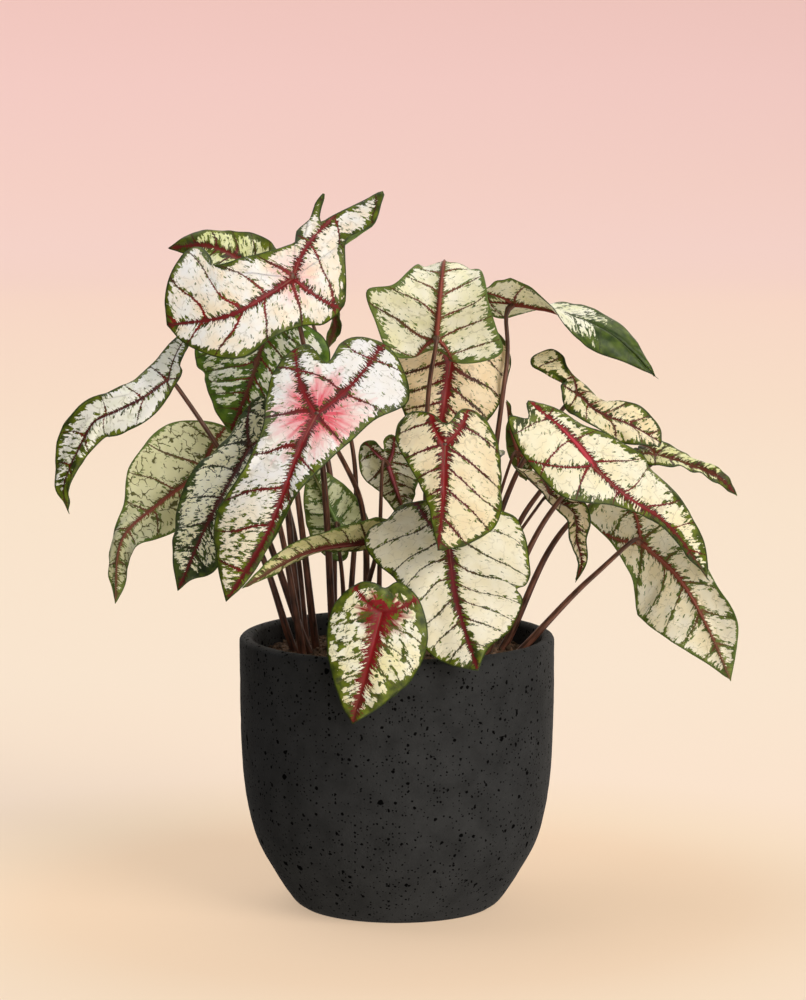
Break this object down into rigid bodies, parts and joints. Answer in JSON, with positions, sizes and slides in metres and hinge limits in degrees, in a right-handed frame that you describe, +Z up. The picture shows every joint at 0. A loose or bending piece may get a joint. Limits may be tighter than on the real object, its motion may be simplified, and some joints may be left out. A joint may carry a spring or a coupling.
{
  "type": "potted caladium",
  "caption": "House plant with waved heart-shaped cream leaves, red veins and green margins, on thin stalks in a round-bottomed dark cement pot filled with soil.",
  "frame": {"origin": "centre of the pot's foot, on the surface that the pot stands on", "axes": "+Z up, +X to the picture's right, -Y towards the picture's camera"},
  "size_m": [0.368, 0.2325, 0.3857],
  "materials": {
    "cement": "matte cast cement, pitted",
    "soil": "coarse dark peat and coir",
    "blade": "satin leaf, cream with crimson veins and green margins",
    "stalk": "satin brown-red leaf stalk"
  },
  "bodies": {
    "root": {"pot": "cement", "soil": "soil", "blade_01": "blade", "blade_02": "blade", "blade_03": "blade", "blade_04": "blade", "blade_05": "blade", "blade_06": "blade", "blade_07": "blade", "blade_08": "blade", "blade_09": "blade", "blade_10": "blade", "blade_11": "blade", "blade_12": "blade", "blade_13": "blade", "blade_14": "blade", "blade_15": "blade", "blade_16": "blade", "blade_17": "blade", "blade_18": "blade", "blade_19": "blade", "blade_20": "blade", "blade_21": "blade", "blade_22": "blade", "blade_23": "blade", "blade_24": "blade", "blade_25": "blade", "blade_26": "blade", "blade_27": "blade", "blade_28": "blade", "stalk_01": "stalk", "stalk_02": "stalk", "stalk_03": "stalk", "stalk_04": "stalk", "stalk_05": "stalk", "stalk_06": "stalk", "stalk_07": "stalk", "stalk_08": "stalk", "stalk_09": "stalk", "stalk_10": "stalk", "stalk_11": "stalk", "stalk_12": "stalk", "stalk_13": "stalk", "stalk_14": "stalk", "stalk_15": "stalk", "stalk_16": "stalk", "stalk_17": "stalk", "stalk_18": "stalk", "stalk_19": "stalk", "stalk_20": "stalk", "stalk_21": "stalk", "stalk_22": "stalk", "stalk_23": "stalk", "stalk_24": "stalk", "stalk_25": "stalk", "stalk_26": "stalk", "stalk_27": "stalk", "stalk_28": "stalk"}
  },
  "joints": []
}
